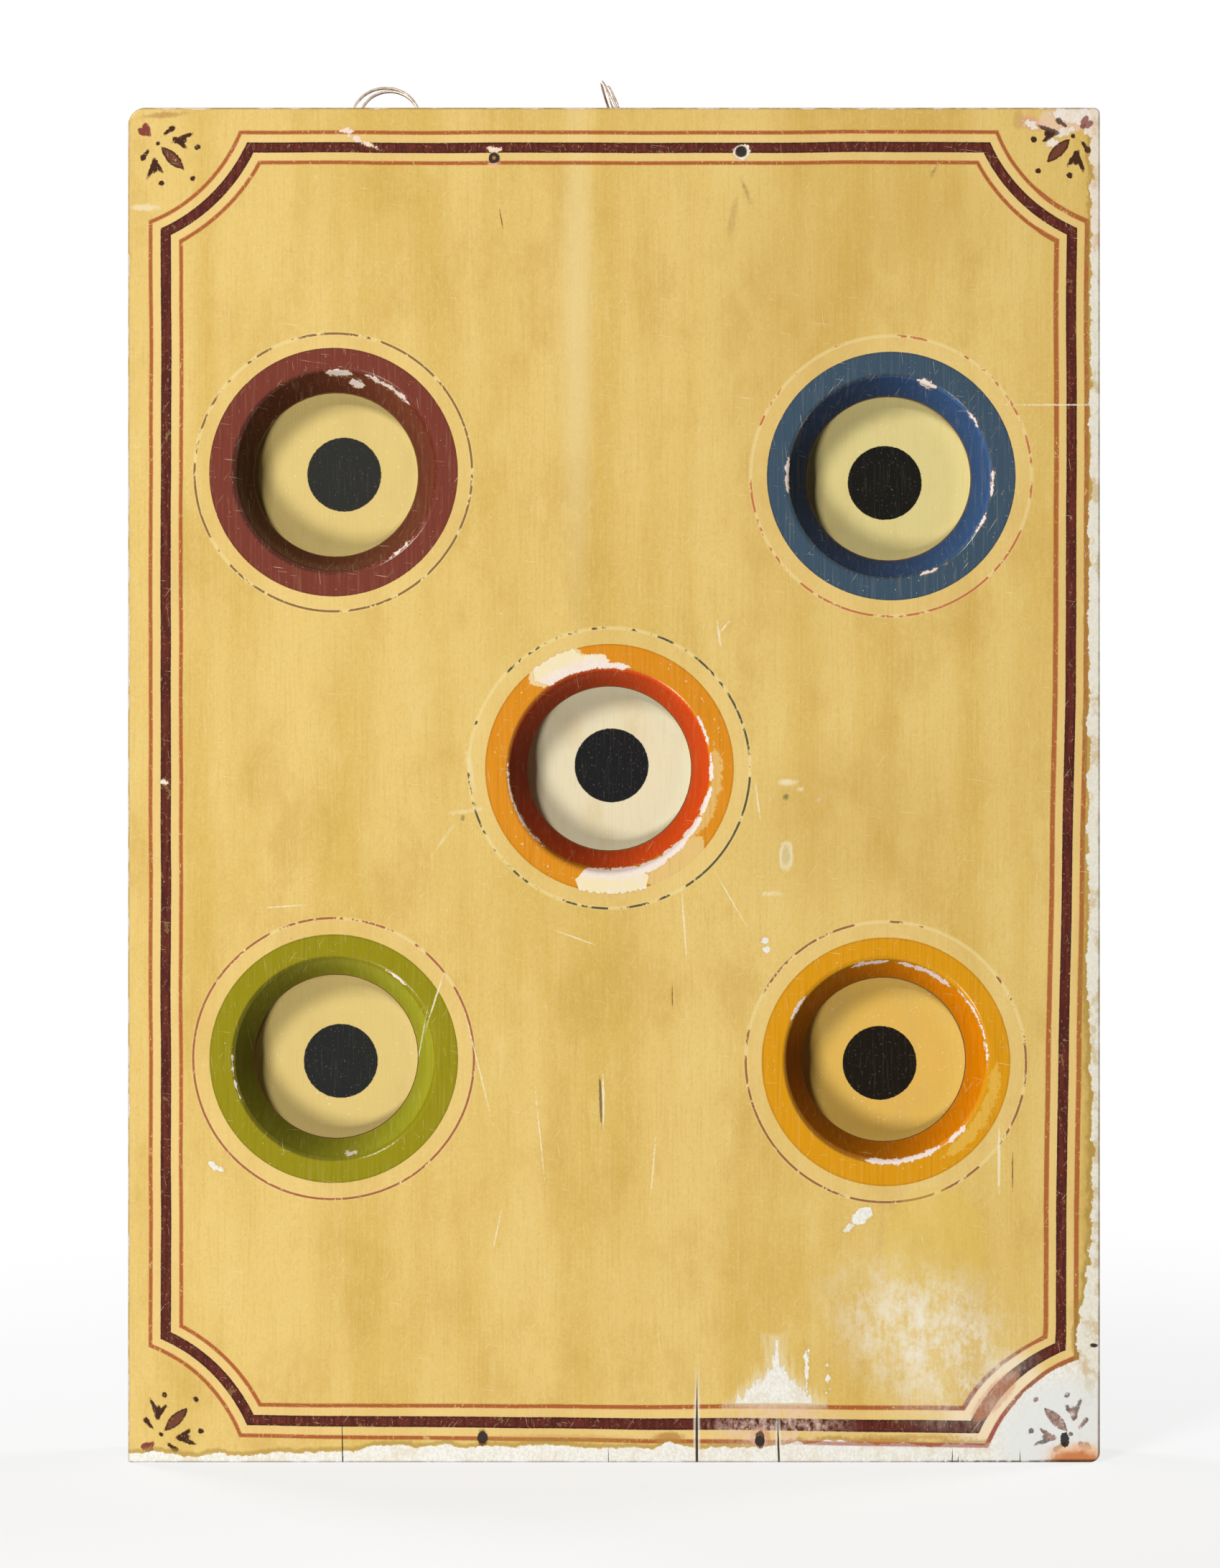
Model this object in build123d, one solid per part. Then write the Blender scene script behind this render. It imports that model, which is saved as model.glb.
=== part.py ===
from build123d import *
from math import cos, hypot, pi, radians, sin, tan
import os

# A painted wooden target board for a throwing game, standing on its bottom edge.
# X runs to the right, Y to the back, Z up. The origin is at the middle of the foot.

# Front board
board_width = 500.0
board_height = 697.0
front_thickness = 20.0
left_joint_x = -140.0
right_joint_x = 42.0
face_edge_radius = 1.2
corner_radii = {"top_left": 9.0, "top_right": 3.0, "bottom_left": 1.2, "bottom_right": 5.0}

# Tapering holes in the front board, turned by hand, so no throat lies quite behind its mouth
mouth_radius = 52.0
throat_radius = 42.3
mouth_rounding = 2.5
hole_centres = {
    "upper_left": (-144.2, 509.4),
    "upper_right": (142.6, 507.4),
    "centre": (-2.3, 357.1),
    "lower_left": (-144.1, 207.7),
    "lower_right": (139.9, 206.1),
}
throat_shifts = {
    "upper_left": (-1.3, -0.7),
    "upper_right": (1.0, 0.4),
    "centre": (0.0, 1.6),
    "lower_left": (-0.5, 0.0),
    "lower_right": (0.0, -1.1),
}

# Frame behind the front board
frame_depth = 30.0
frame_inset = 4.0
stile_width = 24.0
rail_height = 24.0
post_width = 24.0
left_post_x = -64.7
right_post_x = 70.2
post_top_drop = 12.0

# Back boards
back_thickness = 8.0

# Turned targets, dished in front and screwed on a little off the holes' centres
target_radius = 48.0
target_gap = 10.0
dish_depth = 2.0
dish_flat_radius = 35.0
dish_rim_width = 3.5
target_edge_radius = 1.5
target_shifts = {
    "upper_left": (3.5, 1.0),
    "upper_right": (-1.3, -1.3),
    "centre": (1.1, 1.6),
    "lower_left": (1.6, -3.2),
    "lower_right": (-1.3, -2.6),
}

# Nails
nail_radius = 1.2
nail_head_radius = 2.5
nail_head_thickness = 1.0
nail_point_length = 3.0
face_nail_length = 42.0
frame_nail_length = 50.0
frame_nail_spacing = 14.0
top_nail_drops = {"left": 26.0, "right": 22.7}
bottom_nail_heights = {"left": 12.9, "right": 11.1}
top_nail_offsets = {"left": 3.0, "right": -4.8}
bottom_nail_offsets = {"left": -2.9, "right": 4.8}

# Screws in the back
screw_radius = 1.75
screw_head_radius = 4.0
screw_length = 24.0
screw_point_length = 5.0
screw_slot_width = 1.0
screw_slot_depth = 1.0
screw_slot_turn = 37.0
back_screw_rows = 4
back_screw_margin = 40.0
back_screw_joint_offset = 6.0
target_screw_offset = 20.0

# Seats of the nails and screws
fastener_clearance = 0.05
head_sinking = 0.3

# Split rings, each one wire of nearly two turns, the inner turn smaller than the outer one
ring_wire_radius = 0.8
outer_turn_radius = 17.6
inner_turn_radius = 15.2
outer_turn_rise = 2.3
turn_switch_angle = -20.0
arcs_in_turn = 8
inner_turn_arcs = 7
left_ring_lean = 19.0
right_ring_lean = 21.0

# Screw eyes that the rings hang in, behind the front board's top edge
ring_play = 0.5
eye_wire_radius = 1.0
eye_neck_length = 1.2
eye_shank_length = 18.0
eye_point_length = 4.0
eye_standoff = 19.2
left_eye_x = -119.8
right_eye_x = 8.0
left_pivot_drop = 13.4
right_pivot_lift = 1.3

# The rings' wire where the eyes hold it, at the foot of both turns
wire_slope = outer_turn_rise / (2 * pi * outer_turn_radius)
turn_offset = outer_turn_radius - inner_turn_radius
inner_centre_x = turn_offset * cos(radians(turn_switch_angle))
inner_centre_y = turn_offset * sin(radians(turn_switch_angle))
foot_angle = 270.0
foot_swing = radians(foot_angle - turn_switch_angle)
outer_foot = (-outer_turn_radius, wire_slope * outer_turn_radius * foot_swing)
inner_foot = (
    inner_centre_y - (inner_turn_radius**2 - inner_centre_x**2) ** 0.5,
    outer_turn_rise + wire_slope * inner_turn_radius * foot_swing,
)
held_y = (outer_foot[0] + inner_foot[0]) / 2
held_z = (outer_foot[1] + inner_foot[1]) / 2
held_spread = hypot(outer_foot[0] - inner_foot[0], outer_foot[1] - inner_foot[1])
eye_hole_radius = held_spread / 2 + ring_wire_radius + ring_play
eye_loop_radius = eye_hole_radius + eye_wire_radius
eye_height = eye_loop_radius + eye_wire_radius + eye_neck_length

# Places worked out from the sizes above
total_depth = front_thickness + frame_depth + back_thickness
face_y = -total_depth / 2
frame_y = face_y + front_thickness
frame_middle_y = frame_y + frame_depth / 2
back_y = frame_y + frame_depth
rear_y = back_y + back_thickness
frame_half_width = board_width / 2 - frame_inset
stile_inner_x = frame_half_width - stile_width
stile_top = board_height - frame_inset
post_xs = {"left": left_post_x, "right": right_post_x}
post_top = board_height - post_top_drop
left_pivot_z = board_height - left_pivot_drop
rail_top = left_pivot_z - eye_height
eye_y = frame_y + eye_standoff


def board(x_low, x_high, y_low, y_high, z_low, z_high):
    """A straight piece of timber between the given faces."""
    size = (x_high - x_low, y_high - y_low, z_high - z_low)
    middle = ((x_low + x_high) / 2, (y_low + y_high) / 2, (z_low + z_high) / 2)
    return Pos(*middle) * Box(*size)


def turned(profile_points):
    """A solid turned about Z from points of radius and height."""
    profile = Plane.XZ * make_face(Polyline(*profile_points, close=True))
    return revolve(profile, Axis.Z)


def less(solid, cutters):
    """The solid with every cutter that reaches it taken away."""
    box = solid.bounding_box()
    near = [tool for tool in cutters if box.overlaps(tool.bounding_box())]
    return solid - near if near else solid


# Nails

def nail(length, clearance=0.0):
    """A round nail with its head at Z = 0 and its point below, or the hole for it."""
    shank = nail_radius + clearance
    head = nail_head_radius + clearance
    neck_z = -nail_head_thickness - clearance
    tip_z = -length - clearance
    return turned([
        (0, 0), (head, 0), (head, neck_z), (shank, neck_z),
        (shank, tip_z + nail_point_length), (0, tip_z),
    ])


def sunk(places, fastener):
    """Fasteners with their heads just below the surface at the given places."""
    return [place * Pos(0, 0, -head_sinking) * fastener for place in places]


def seats(places, fastener_hole, head_radius):
    """The holes for such fasteners, with the recess above each head."""
    recess = Cylinder(head_radius + fastener_clearance, 2 * head_sinking)
    return sunk(places, fastener_hole) + [place * recess for place in places]


def face_nail_places():
    """Two nails through the front board into each post, near its ends."""
    spots = []
    for side, post_x in post_xs.items():
        spots.append((post_x + top_nail_offsets[side], board_height - top_nail_drops[side]))
        spots.append((post_x + bottom_nail_offsets[side], bottom_nail_heights[side]))
    return [Pos(x, face_y, z) * Rot(90, 0, 0) for x, z in spots]


def frame_nail_places():
    """Two nails through each stile into the end of each outer rail."""
    places = []
    for side in (-1, 1):
        for z in (rail_height / 2, rail_top - rail_height / 2):
            for step in (-1, 1):
                y = frame_middle_y + step * frame_nail_spacing / 2
                places.append(Pos(side * frame_half_width, y, z) * Rot(0, 90 * side, 0))
    return places


# Screws

def screw(clearance=0.0):
    """A countersunk screw with its flat head at Z = 0, or the hole for it."""
    shank = screw_radius + clearance
    head = screw_head_radius + clearance
    tip_z = -screw_length - clearance
    return turned([
        (0, 0), (head, 0), (shank, shank - head),
        (shank, tip_z + screw_point_length), (0, tip_z),
    ])


def slotted_screw():
    """The screw itself, with the slot across its head."""
    return screw() - Box(4 * screw_head_radius, screw_slot_width, 2 * screw_slot_depth)


def screw_places(spots):
    """Places on the rear face, each with its slot turned a little further."""
    return [
        Pos(x, rear_y, z) * Rot(-90, 0, 0) * Rot(0, 0, screw_slot_turn * number)
        for number, (x, z) in enumerate(spots)
    ]


def back_screw_places():
    """Rows of screws along the stiles and on both sides of each joint of the back."""
    stile_x = frame_half_width - stile_width / 2
    columns = [-stile_x, stile_x]
    for post_x in post_xs.values():
        columns += [post_x - back_screw_joint_offset, post_x + back_screw_joint_offset]
    row_step = (rail_top - 2 * back_screw_margin) / (back_screw_rows - 1)
    rows = [back_screw_margin + row_step * row for row in range(back_screw_rows)]
    return screw_places([(x, z) for x in columns for z in rows])


def target_places():
    """The centre of each target by its name."""
    return {
        name: (x + target_shifts[name][0], z + target_shifts[name][1])
        for name, (x, z) in hole_centres.items()
    }


def target_screw_places():
    """Two screws side by side behind each target."""
    return screw_places([
        (x + side * target_screw_offset, z)
        for x, z in target_places().values()
        for side in (-1, 1)
    ])


# Screw eyes and split rings

def eye_shank(clearance=0.0):
    """The pointed shank below an eye whose hole is centred on the origin."""
    radius = eye_wire_radius + clearance
    tip_z = -eye_height - eye_shank_length - clearance
    return turned([
        (0, -eye_loop_radius), (radius, -eye_loop_radius),
        (radius, tip_z + eye_point_length), (0, tip_z),
    ])


def screw_eye():
    """An eye with its hole along X."""
    return Rot(0, 90, 0) * Torus(eye_loop_radius, eye_wire_radius) + eye_shank()


def turn_points(centre_x, centre_y, radius, start_height, arcs):
    """Points along one turn of the wire, which climbs at a steady slope."""
    points = []
    for step in range(arcs + 1):
        swing = 2 * pi * step / arcs_in_turn
        angle = radians(turn_switch_angle) + swing
        height = start_height + wire_slope * radius * swing
        points.append((centre_x + radius * cos(angle), centre_y + radius * sin(angle), height))
    return points


def ring_arcs():
    """The middle line of the wire: an outer turn that runs into a smaller inner one."""
    outer = turn_points(0, 0, outer_turn_radius, 0, arcs_in_turn)
    inner = turn_points(
        inner_centre_x, inner_centre_y, inner_turn_radius, outer_turn_rise, inner_turn_arcs
    )
    points = outer + inner[1:]
    start = radians(turn_switch_angle)
    half_arc = pi / arcs_in_turn
    heading = Vector(-sin(start), cos(start), wire_slope * half_arc / tan(half_arc))
    arcs = []
    for near, far in zip(points, points[1:]):
        arcs.append(TangentArc(near, far, tangent=heading))
        heading = arcs[-1] % 1
    return arcs


def least_ring_gap(arcs):
    """The smallest space between one turn of the wire and the next, measured on points."""
    samples = 12
    line = [arc @ (step / samples) for arc in arcs for step in range(samples)]
    half_turn = samples * arcs_in_turn // 2
    spans = [
        (point - other).length
        for index, point in enumerate(line)
        for other in line[index + half_turn:]
    ]
    return min(spans) - 2 * ring_wire_radius


def split_ring():
    """The ring facing the front, standing on the point that its eye holds."""
    path = Wire(ring_arcs())
    coil = sweep(Plane(path @ 0, z_dir=path % 0) * Circle(ring_wire_radius), path=path)
    return Rot(90, 0, 0) * Pos(0, -held_y, -held_z) * coil


# Sub-parts

def tapering_hole(name):
    """The cutter for one hole, widest at the face, its axis leaning towards the throat."""
    x, z = hole_centres[name]
    shift_x, shift_z = throat_shifts[name]
    axis = Vector(shift_x, front_thickness, shift_z)
    overrun = front_thickness / 4
    slope = (mouth_radius - throat_radius) / front_thickness
    wide = mouth_radius + slope * overrun
    narrow = throat_radius - slope * overrun
    cone = Cone(wide, narrow, front_thickness + 2 * overrun)
    middle = Vector(x, face_y, z) + axis / 2
    return Plane(middle, x_dir=Vector(1, -shift_x / front_thickness, 0), z_dir=axis) * cone


def front_board():
    """The whole front board before it is parted into planks."""
    outline = Rectangle(board_width, board_height)
    for corner, radius in corner_radii.items():
        row = outline.vertices().group_by(Axis.Y)[-1 if "top" in corner else 0]
        vertex = row.sort_by(Axis.X)[0 if "left" in corner else -1]
        outline = fillet(vertex, radius)
    standing = Plane.XZ.offset(-frame_y) * Pos(0, board_height / 2) * outline
    blank = extrude(standing, front_thickness)
    blank = fillet(blank.faces().sort_by(Axis.Y)[0].edges(), face_edge_radius)
    blank -= [tapering_hole(name) for name in hole_centres]
    mouths = blank.faces().sort_by(Axis.Y)[0].inner_wires()
    return fillet([edge for mouth in mouths for edge in mouth.edges()], mouth_rounding)


def front_planks():
    """Three planks, with the holes that lie across their joints shared between them."""
    whole = front_board() - face_nail_seats
    edges = [-board_width / 2, left_joint_x, right_joint_x, board_width / 2]
    return {
        f"front_plank_{name}": whole & board(low, high, face_y, frame_y, 0, board_height)
        for name, low, high in zip(("left", "middle", "right"), edges, edges[1:])
    }


def frame_pieces():
    """Two stiles, two posts and six rails between them."""
    depth = (frame_y, back_y)
    pieces = {
        "stile_left": board(-frame_half_width, -stile_inner_x, *depth, 0, stile_top),
        "stile_right": board(stile_inner_x, frame_half_width, *depth, 0, stile_top),
    }
    bay_edges = [-stile_inner_x]
    for side, x in post_xs.items():
        post_edges = (x - post_width / 2, x + post_width / 2)
        pieces[f"post_{side}"] = board(*post_edges, *depth, 0, post_top)
        bay_edges += post_edges
    bay_edges.append(stile_inner_x)
    for name, low, high in zip(("left", "middle", "right"), bay_edges[0::2], bay_edges[1::2]):
        pieces[f"top_rail_{name}"] = board(low, high, *depth, rail_top - rail_height, rail_top)
        pieces[f"bottom_rail_{name}"] = board(low, high, *depth, 0, rail_height)
    cutters = face_nail_seats + frame_nail_seats + back_screw_seats + eye_seats
    return {name: less(piece, cutters) for name, piece in pieces.items()}


def back_boards():
    """Three boards that meet on the middle lines of the posts."""
    edges = [-frame_half_width, left_post_x, right_post_x, frame_half_width]
    cutters = back_screw_seats + target_screw_seats
    return {
        f"back_board_{name}": less(board(low, high, back_y, rear_y, 0, rail_top), cutters)
        for name, low, high in zip(("left", "middle", "right"), edges, edges[1:])
    }


def target_blank():
    """A turned block standing on Z = 0, with a shallow coved dish in its upper face."""
    top_z = frame_depth - target_gap
    floor_z = top_z - dish_depth
    rim = (target_radius - dish_rim_width, top_z)
    shoulder = (target_radius - target_edge_radius, top_z)
    edge = (target_radius, top_z - target_edge_radius)
    outline = [
        Line((0, 0), (0, floor_z)),
        Line((0, floor_z), (dish_flat_radius, floor_z)),
        TangentArc((dish_flat_radius, floor_z), rim, tangent=(1, 0)),
        Line(rim, shoulder),
        TangentArc(shoulder, edge, tangent=(1, 0)),
        Line(edge, (target_radius, 0)),
        Line((target_radius, 0), (0, 0)),
    ]
    return revolve(Plane.XZ * make_face(outline), Axis.Z)


def targets():
    """One block behind each hole, screwed to the back."""
    blank = Rot(90, 0, 0) * target_blank()
    return {
        f"target_{name}": less(Pos(x, back_y, z) * blank, target_screw_seats)
        for name, (x, z) in target_places().items()
    }


def hanging_fittings():
    """Two screw eyes, turned across each other, and the split rings that they hold."""
    facing = split_ring()
    edge_on = Rot(0, 0, 90) * facing
    return {
        "screw_eye_left": left_eye_place * screw_eye(),
        "screw_eye_right": right_eye_place * Rot(0, 0, 90) * screw_eye(),
        "split_ring_left": left_eye_place * Rot(-left_ring_lean, 0, 0) * facing,
        "split_ring_right": right_eye_place * Rot(0, -right_ring_lean, 0) * edge_on,
    }


def fasteners():
    """Nails and screws, each kind a group."""
    return {
        "face_nails": Compound(children=sunk(face_nail_places(), nail(face_nail_length))),
        "frame_nails": Compound(children=sunk(frame_nail_places(), nail(frame_nail_length))),
        "back_screws": Compound(children=sunk(back_screw_places(), slotted_screw())),
        "target_screws": Compound(children=sunk(target_screw_places(), slotted_screw())),
    }


# Where the screw eyes stand
left_eye_place = Pos(left_eye_x, eye_y, left_pivot_z)
right_eye_place = Pos(right_eye_x, eye_y, left_pivot_z + right_pivot_lift)

# Holes that the fasteners and eyes sit in
face_nail_hole = nail(face_nail_length, fastener_clearance)
frame_nail_hole = nail(frame_nail_length, fastener_clearance)
screw_hole = screw(fastener_clearance)
face_nail_seats = seats(face_nail_places(), face_nail_hole, nail_head_radius)
frame_nail_seats = seats(frame_nail_places(), frame_nail_hole, nail_head_radius)
back_screw_seats = seats(back_screw_places(), screw_hole, screw_head_radius)
target_screw_seats = seats(target_screw_places(), screw_hole, screw_head_radius)
eye_seats = [place * eye_shank(fastener_clearance) for place in (left_eye_place, right_eye_place)]

nodes = {}
for group in (front_planks, frame_pieces, back_boards, targets, hanging_fittings, fasteners):
    nodes.update(group())

os.makedirs("parts", exist_ok=True)
for name, shape in nodes.items():
    export_step(shape, f"parts/{name}.step")
print("least gap between the turns of a split ring:", round(least_ring_gap(ring_arcs()), 2), "mm")
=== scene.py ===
import math

import bmesh
import bpy
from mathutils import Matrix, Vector


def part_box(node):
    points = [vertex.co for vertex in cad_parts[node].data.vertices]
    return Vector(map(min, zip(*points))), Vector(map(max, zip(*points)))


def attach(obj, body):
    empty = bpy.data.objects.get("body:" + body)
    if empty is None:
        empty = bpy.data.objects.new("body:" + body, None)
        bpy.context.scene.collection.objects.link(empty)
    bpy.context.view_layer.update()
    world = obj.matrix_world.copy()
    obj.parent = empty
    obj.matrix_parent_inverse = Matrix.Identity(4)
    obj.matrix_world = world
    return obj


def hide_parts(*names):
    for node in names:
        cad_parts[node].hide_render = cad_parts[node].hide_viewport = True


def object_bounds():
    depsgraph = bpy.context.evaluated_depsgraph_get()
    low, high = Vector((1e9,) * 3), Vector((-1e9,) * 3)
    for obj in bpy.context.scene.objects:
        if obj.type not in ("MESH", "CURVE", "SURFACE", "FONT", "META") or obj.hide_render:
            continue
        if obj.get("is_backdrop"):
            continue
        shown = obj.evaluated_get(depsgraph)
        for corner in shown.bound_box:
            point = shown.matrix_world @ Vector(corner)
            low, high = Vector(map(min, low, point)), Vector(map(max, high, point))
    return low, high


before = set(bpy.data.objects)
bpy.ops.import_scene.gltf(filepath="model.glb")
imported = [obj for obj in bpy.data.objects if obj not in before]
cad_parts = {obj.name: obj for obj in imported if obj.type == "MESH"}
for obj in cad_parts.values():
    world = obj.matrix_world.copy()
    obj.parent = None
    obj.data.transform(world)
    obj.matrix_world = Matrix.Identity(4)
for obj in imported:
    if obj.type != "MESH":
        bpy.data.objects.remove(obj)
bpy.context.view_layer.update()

# Frame timber: two stiles, two posts and six rails of softwood, planed on the bench and nailed together
# behind the front board. They were never painted, so they are brown with age, dry, and grimy in the grain.
# Each keeps its sawn shape, with the long arrises knocked off by a plane.


class Tone:
    """A socket of a finish's nodes. Arithmetic on it adds Math nodes, so a mask reads as an expression."""

    def __init__(self, tree, socket=None):
        self.tree = tree
        self.socket = socket

    def node(self, kind, settings=None, inputs=None, output=0):
        """Adds a node: its settings first, then the values or links of its sockets."""
        made = self.tree.nodes.new("ShaderNode" + kind)
        for name, value in (settings or {}).items():
            setattr(made, name, value)
        for name, value in (inputs or {}).items():
            if isinstance(value, Tone):
                self.tree.links.new(value.socket, made.inputs[name])
            else:
                made.inputs[name].default_value = value
        return Tone(self.tree, made.outputs[output])

    def maths(self, operation, *values):
        return self.node("Math", {"operation": operation}, dict(enumerate(values)))

    def __add__(self, other):
        return self.maths("ADD", self, other)

    def __radd__(self, other):
        return self.maths("ADD", other, self)

    def __sub__(self, other):
        return self.maths("SUBTRACT", self, other)

    def __rsub__(self, other):
        return self.maths("SUBTRACT", other, self)

    def __mul__(self, other):
        return self.maths("MULTIPLY", self, other)

    def __rmul__(self, other):
        return self.maths("MULTIPLY", other, self)

    def __truediv__(self, other):
        return self.maths("DIVIDE", self, other)

    def __pow__(self, other):
        return self.maths("POWER", self, other)

    def __abs__(self):
        return self.maths("ABSOLUTE", self)

    def least(self, other):
        return self.maths("MINIMUM", self, other)

    def most(self, other):
        return self.maths("MAXIMUM", self, other)

    def rise(self, start, end):
        """0 up to start and 1 past end with a soft step between, or the other way round if end is lower."""
        limits = {"Value": self, "From Min": start, "From Max": end}
        return self.node("MapRange", {"interpolation_type": "SMOOTHSTEP"}, limits)

    def between(self, under, over):
        """One colour where this mask is 0 and another where it is 1."""
        return self.node("Mix", {"data_type": "RGBA"}, {0: self, 6: under, 7: over}, 2)

    def coated(self, mask, code, amount=1.0):
        """This colour, with another over it where the mask is 1, as strong as amount."""
        strength = mask if amount == 1.0 else mask * amount
        return strength.between(self, code if isinstance(code, Tone) else paint(code))

    def vector(self, operation, place, output=0):
        return self.node("VectorMath", {"operation": operation}, {0: self, 1: place}, output)

    def length(self):
        return self.node("VectorMath", {"operation": "LENGTH"}, {0: self}, "Value")

    def split(self):
        return [self.node("SeparateXYZ", {}, {0: self}, axis) for axis in "XYZ"]

    def mapped(self, **inputs):
        """A place moved, turned and scaled by one Mapping node, as noise takes it."""
        return self.node("Mapping", {}, {"Vector": self, **inputs})

    def oval(self, x, z, reach_x, reach_z, turn=0.0):
        """Millimetres outside an oval in the XZ plane, turned anticlockwise as the face is seen."""
        middle = Vector((x, 0, z))
        if turn:
            angle = math.radians(turn)
            along = Vector((math.cos(angle), 0, math.sin(angle))) / reach_x
            beside = Vector((-math.sin(angle), 0, math.cos(angle))) / reach_z
            dots = [self.vector("DOT_PRODUCT", axis, "Value") for axis in (along, beside)]
            shares = self.node("CombineXYZ", {}, {"X": dots[0], "Z": dots[1]})
            middle = Vector((middle.dot(along), 0, middle.dot(beside)))
        else:
            shares = self.vector("MULTIPLY", (1 / reach_x, 0, 1 / reach_z))
            middle = Vector((x / reach_x, 0, z / reach_z))
        least_reach = min(reach_x, reach_z)
        outside = shares.vector("DISTANCE", middle, "Value")
        return outside.maths("MULTIPLY_ADD", outside, least_reach, -least_reach)

    def cloud(self, size, seed=0.0, detail=2.0, roughness=0.5):
        """Noise about 0.5, on a place in millimetres, with features as large as size along X, Y and Z."""
        spread = self.mapped(Scale=[1 / s for s in size], Location=[seed] * 3)
        looks = {"Vector": spread, "Scale": 1.0, "Detail": detail, "Roughness": roughness}
        return self.node("TexNoise", {}, looks)

    def into(self, shader, name):
        self.tree.links.new(self.socket, shader.inputs[name])


def paint(code):
    """A colour as on a paint chart, #RRGGBB, in the linear values that a shader takes."""
    shares = [int(code[i:i + 2], 16) / 255 for i in (1, 3, 5)]
    return [s / 12.92 if s <= 0.04045 else ((s + 0.055) / 1.055) ** 2.4 for s in shares] + [1.0]


def new_finish(name, **steady):
    """A finish, its shader with the steady values set, and the piece's own place in millimetres."""
    material = bpy.data.materials.new(name)
    material.use_nodes = True
    shader = material.node_tree.nodes["Principled BSDF"]
    for socket, value in steady.items():
        shader.inputs[socket.replace("_", " ")].default_value = value
    place = Tone(material.node_tree).node("TexCoord", output="Object").mapped(Scale=[1000.0] * 3)
    return material, shader, place


def raise_grain(shader, height, depth):
    """Presses a height of 0 to 1 into the surface, depth millimetres deep."""
    looks = {"Strength": 1.0, "Distance": depth / 1000, "Height": height}
    height.node("Bump", {}, looks).into(shader, "Normal")


def timber_finish(name, upright, pale, dark, grime, sawn=0.0):
    """Old bare softwood, with its growth rings about a tree's heart that lay outside the board."""
    material, shader, place = new_finish(name, Specular_IOR_Level=0.25)

    def along(size, grain_size):
        return (size, size, grain_size) if upright else (grain_size, size, size)

    heart = (31.0, 64.0, 0.0) if upright else (0.0, 64.0, 31.0)
    bow = 26.0
    ring_spacing = 3.1
    bend = place.cloud(along(160, 420), seed=3.1)
    across = place.vector("MULTIPLY", along(1.0, 0.0)).vector("SUBTRACT", heart)
    rings = (across.length() + bend * bow) / ring_spacing
    late_wood = rings.maths("FRACT", rings) ** 3.0
    fibre = place.cloud(along(0.5, 34), seed=7.7, detail=3.0)
    stain = place.cloud(along(60, 120), seed=1.9, detail=4.0, roughness=0.6)
    teeth = place.cloud(along(60, 1.6), seed=5.3)
    wood = (late_wood * 0.55).between(paint(pale), paint(dark))
    wood = wood.coated(fibre.rise(0.52, 0.72), dark, 0.5)
    wood = wood.coated(stain.rise(0.46, 0.76), grime, 0.5)
    wood.into(shader, "Base Color")
    (0.72 + stain * 0.25).into(shader, "Roughness")
    raise_grain(shader, late_wood * 0.3 + fibre * 0.5 + teeth * sawn, 0.35)
    return material


def eased(node, arris):
    """The piece as it left the saw, with every long arris taken off by a plane."""
    mesh = bmesh.new()
    mesh.from_mesh(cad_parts[node].data)
    bmesh.ops.remove_doubles(mesh, verts=mesh.verts, dist=1e-6)
    shortest = 0.012
    sharp = math.radians(60)
    arrises = [
        edge for edge in mesh.edges
        if edge.calc_length() > shortest and edge.calc_face_angle(0.0) > sharp
    ]
    bmesh.ops.bevel(
        mesh, geom=arrises, offset=arris, offset_type="OFFSET", segments=2, profile=0.5,
        affect="EDGES", material=-1, clamp_overlap=True,
    )
    return mesh


def settle(mesh, name, stands_for, material):
    """Makes the piece from its mesh, with its faces flat, as saw and plane leave them."""
    data = bpy.data.meshes.new(name)
    mesh.to_mesh(data)
    mesh.free()
    data.shade_flat()
    data.materials.clear()
    data.materials.append(material)
    piece = bpy.data.objects.new(name, data)
    bpy.context.scene.collection.objects.link(piece)
    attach(piece, "board")
    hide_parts(stands_for)


def finish_nodes(nodes, material):
    """Gives a finish to pieces that keep their CAD shape."""
    for node in nodes:
        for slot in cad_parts[node].material_slots:
            slot.material = material


upright_timber = timber_finish("upright_timber", True, "#A07A4C", "#6B4727", "#3E2A19")
level_timber = timber_finish("level_timber", False, "#9A7448", "#674426", "#3B2817")
uprights = ["stile_left", "stile_right", "post_left", "post_right"]
rails = [f"{end}_rail_{side}" for end in ("top", "bottom") for side in ("left", "middle", "right")]
frame_arris = 0.0008
for node in uprights + rails:
    timber = upright_timber if node in uprights else level_timber
    settle(eased(node, frame_arris), "planed_" + node, node, timber)

# Back: three thin boards of rough-sawn softwood, butted over the posts and held by slotted screws. They
# have hung against a wall, so they are darker and dustier than the frame and still show the saw's teeth.

sawn_timber = timber_finish("sawn_timber", True, "#8C6A43", "#5A3C22", "#33241A", sawn=0.8)
board_arris = 0.0005
for side in ("left", "middle", "right"):
    node = "back_board_" + side
    settle(eased(node, board_arris), "sawn_" + node, node, sawn_timber)

# Targets: five discs turned on a faceplate, dished in front, painted cream with a black spot in the middle
# and screwed to the back boards. The paint went on with a flat brush, whose strokes show in the black.

target_paints = {
    "upper_left": ("#E0C77D", "#2C2C29"),
    "upper_right": ("#E0CF8B", "#15140F"),
    "centre": ("#E3DAB6", "#1A1A1B"),
    "lower_left": ("#DCC27A", "#232322"),
    "lower_right": ("#DFB658", "#17110A"),
}
spot_radius = 19.3
spot_softness = 0.25


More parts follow.
